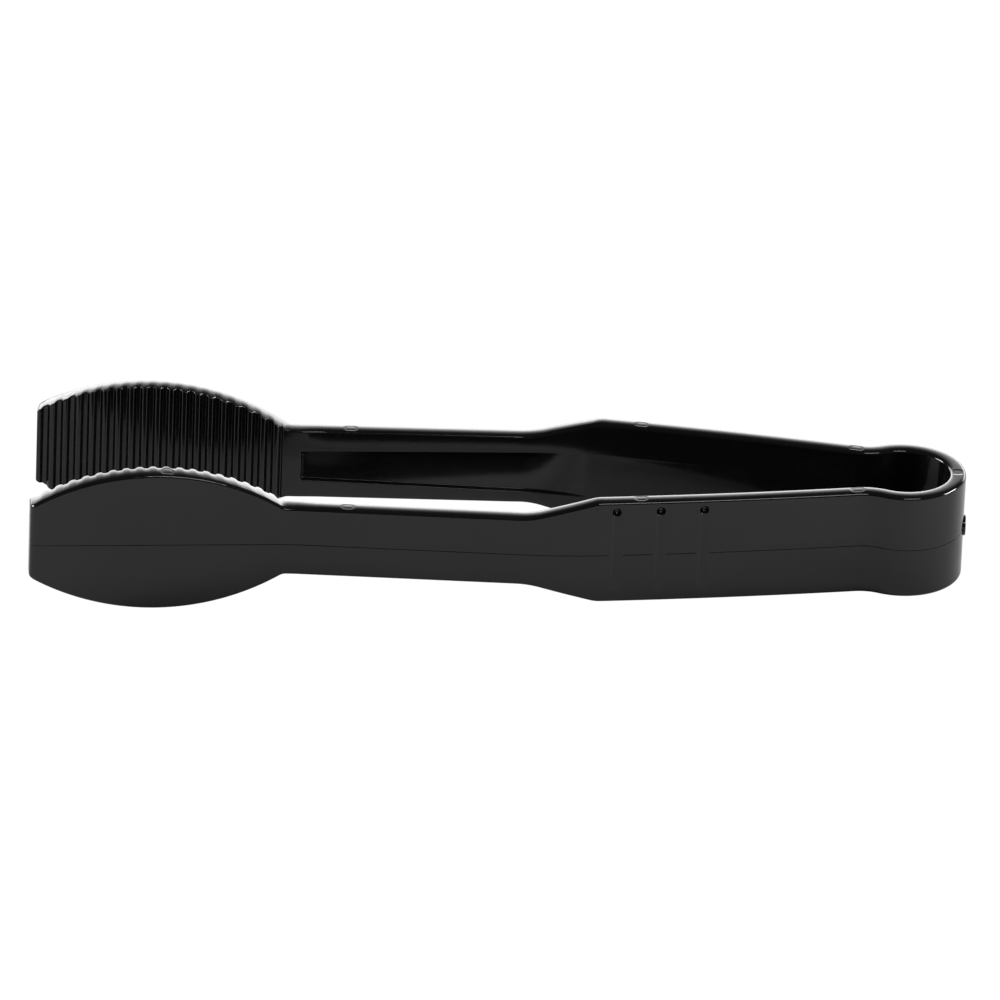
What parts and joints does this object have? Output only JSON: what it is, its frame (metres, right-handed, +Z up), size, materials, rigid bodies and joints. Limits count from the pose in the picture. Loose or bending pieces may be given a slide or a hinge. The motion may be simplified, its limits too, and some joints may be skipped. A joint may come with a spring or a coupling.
{
  "type": "spring tongs",
  "caption": "Spring kitchen tongs: flat arms with ribbed paddles and finger grooves, joined by a flexing bow that springs them open.",
  "frame": {"origin": "centre of the footprint box, at the height of the paddles' lowest edges", "axes": "+X along the tongs toward the spring bow, +Y across from the near arm to the far arm, +Z up along the width of the band"},
  "size_m": [0.23, 0.0574, 0.0368],
  "materials": {
    "smooth_moulding": "moulded gloss, fine parting line",
    "ribbed_moulding": "moulded gloss, ribbed"
  },
  "bodies": {
    "bow": {"bow_crown": "smooth_moulding", "gate_vestige": "smooth_moulding"},
    "near_bow_side": {"near_bow_quadrant": "smooth_moulding"},
    "near_waist": {"near_waist": "smooth_moulding", "near_handle_tail": "smooth_moulding"},
    "near_arm": {"near_handle": "smooth_moulding", "near_shoulder": "smooth_moulding", "near_neck": "smooth_moulding", "near_upper_rail": "smooth_moulding", "near_lower_rail": "smooth_moulding", "near_paddle_root": "smooth_moulding", "near_root_block": "smooth_moulding", "near_paddle": "smooth_moulding", "near_grip_ribs": "ribbed_moulding"},
    "far_bow_side": {"far_bow_quadrant": "smooth_moulding"},
    "far_waist": {"far_waist": "smooth_moulding", "far_handle_tail": "smooth_moulding"},
    "far_arm": {"far_handle": "smooth_moulding", "far_shoulder": "smooth_moulding", "far_neck": "smooth_moulding", "far_upper_rail": "smooth_moulding", "far_lower_rail": "smooth_moulding", "far_paddle_root": "smooth_moulding", "far_root_block": "smooth_moulding", "far_paddle": "smooth_moulding", "far_grip_ribs": "ribbed_moulding"}
  },
  "joints": [
    {"name": "near_bow_flex", "type": "hinge", "parent": "bow", "child": "near_bow_side", "pos_m": [0.10687, -0.00746, 0.0184], "axis": [0, 0, -1], "range_deg": [0, 2.14], "stiffness_Nm_per_rad": 33},
    {"name": "near_waist_flex", "type": "hinge", "parent": "near_bow_side", "child": "near_waist", "pos_m": [0.09541, -0.00976, 0.0184], "axis": [0, 0, -1], "range_deg": [0, 2.14], "stiffness_Nm_per_rad": 33},
    {"name": "near_handle_flex", "type": "hinge", "parent": "near_waist", "child": "near_arm", "pos_m": [0.07691, -0.01088, 0.0184], "axis": [0, 0, -1], "range_deg": [0, 2.14], "stiffness_Nm_per_rad": 33},
    {"name": "far_bow_flex", "type": "hinge", "parent": "bow", "child": "far_bow_side", "pos_m": [0.10687, 0.00746, 0.0184], "axis": [0, 0, 1], "range_deg": [0, 2.14], "stiffness_Nm_per_rad": 33},
    {"name": "far_waist_flex", "type": "hinge", "parent": "far_bow_side", "child": "far_waist", "pos_m": [0.09541, 0.00976, 0.0184], "axis": [0, 0, 1], "range_deg": [0, 2.14], "stiffness_Nm_per_rad": 33},
    {"name": "far_handle_flex", "type": "hinge", "parent": "far_waist", "child": "far_arm", "pos_m": [0.07691, 0.01088, 0.0184], "axis": [0, 0, 1], "range_deg": [0, 2.14], "stiffness_Nm_per_rad": 33}
  ],
  "couplings": [
    {"joint": "near_waist_flex", "follows": "near_bow_flex", "ratio": 1},
    {"joint": "near_handle_flex", "follows": "near_bow_flex", "ratio": 1},
    {"joint": "far_bow_flex", "follows": "near_bow_flex", "ratio": 1},
    {"joint": "far_waist_flex", "follows": "near_bow_flex", "ratio": 1},
    {"joint": "far_handle_flex", "follows": "near_bow_flex", "ratio": 1}
  ]
}
